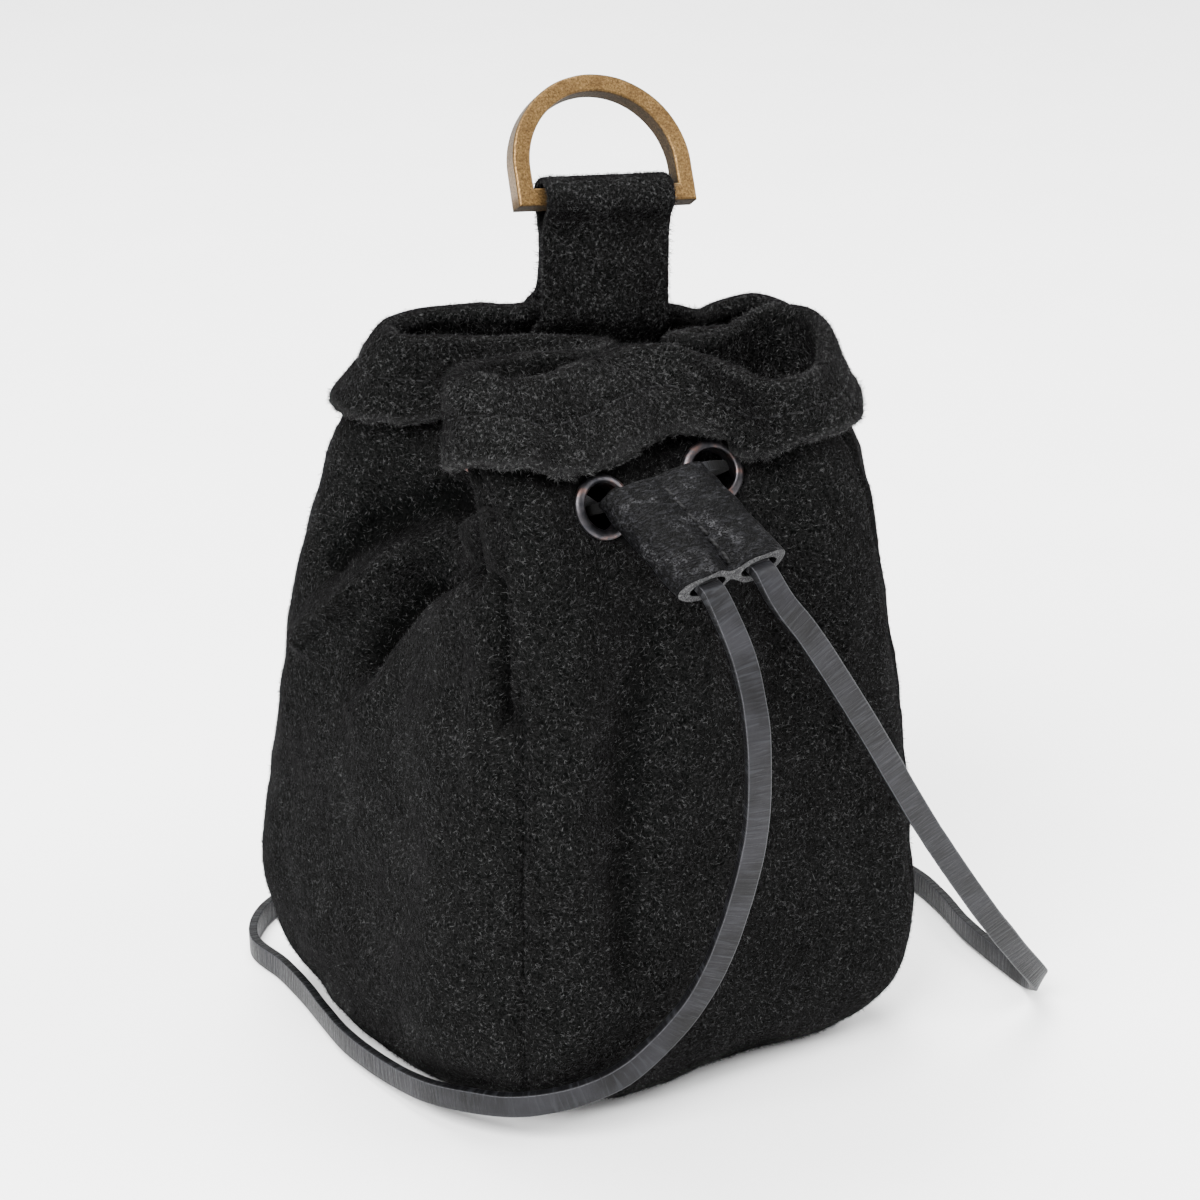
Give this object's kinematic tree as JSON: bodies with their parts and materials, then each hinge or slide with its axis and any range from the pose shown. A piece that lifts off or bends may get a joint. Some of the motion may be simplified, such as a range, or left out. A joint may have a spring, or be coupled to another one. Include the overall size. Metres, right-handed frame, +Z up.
{
  "type": "drawstring belt pouch",
  "caption": "Medieval belt pouch of black suede with a turned cuff, eyelets, a flat leather drawstring in a leather slider, and a strap loop with a brass D-ring.",
  "frame": {"origin": "centre of the base's underside, on the surface that the pouch stands on", "axes": "+Z up, +X to the right along the front wall, +Y to the back, where the belt strap is"},
  "size_m": [0.1492, 0.1529, 0.1954],
  "materials": {
    "suede": "matte",
    "slider_leather": "satin",
    "lace_leather": "satin",
    "antique_brass": "satin",
    "gunmetal": "satin"
  },
  "bodies": {
    "pouch": {"front_panel": "suede", "right_gusset": "suede", "back_panel": "suede", "left_gusset": "suede", "base_panel": "suede", "eyelet_front_a": "gunmetal", "eyelet_front_b": "gunmetal", "eyelet_right_a": "gunmetal", "eyelet_right_b": "gunmetal", "eyelet_back_a": "gunmetal", "eyelet_back_b": "gunmetal", "eyelet_left_a": "gunmetal", "eyelet_left_b": "gunmetal", "belt_strap": "suede", "slider": "slider_leather", "drawstring": "lace_leather", "lace_loop": "lace_leather"},
    "ring": {"d_ring": "antique_brass"}
  },
  "joints": [
    {"name": "ring_swing", "type": "hinge", "parent": "pouch", "child": "ring", "pos_m": [0.01588, 0.01403, 0.17303], "axis": [0.9824, -0.1732, -0.0698], "range_deg": [-107, 143]}
  ]
}
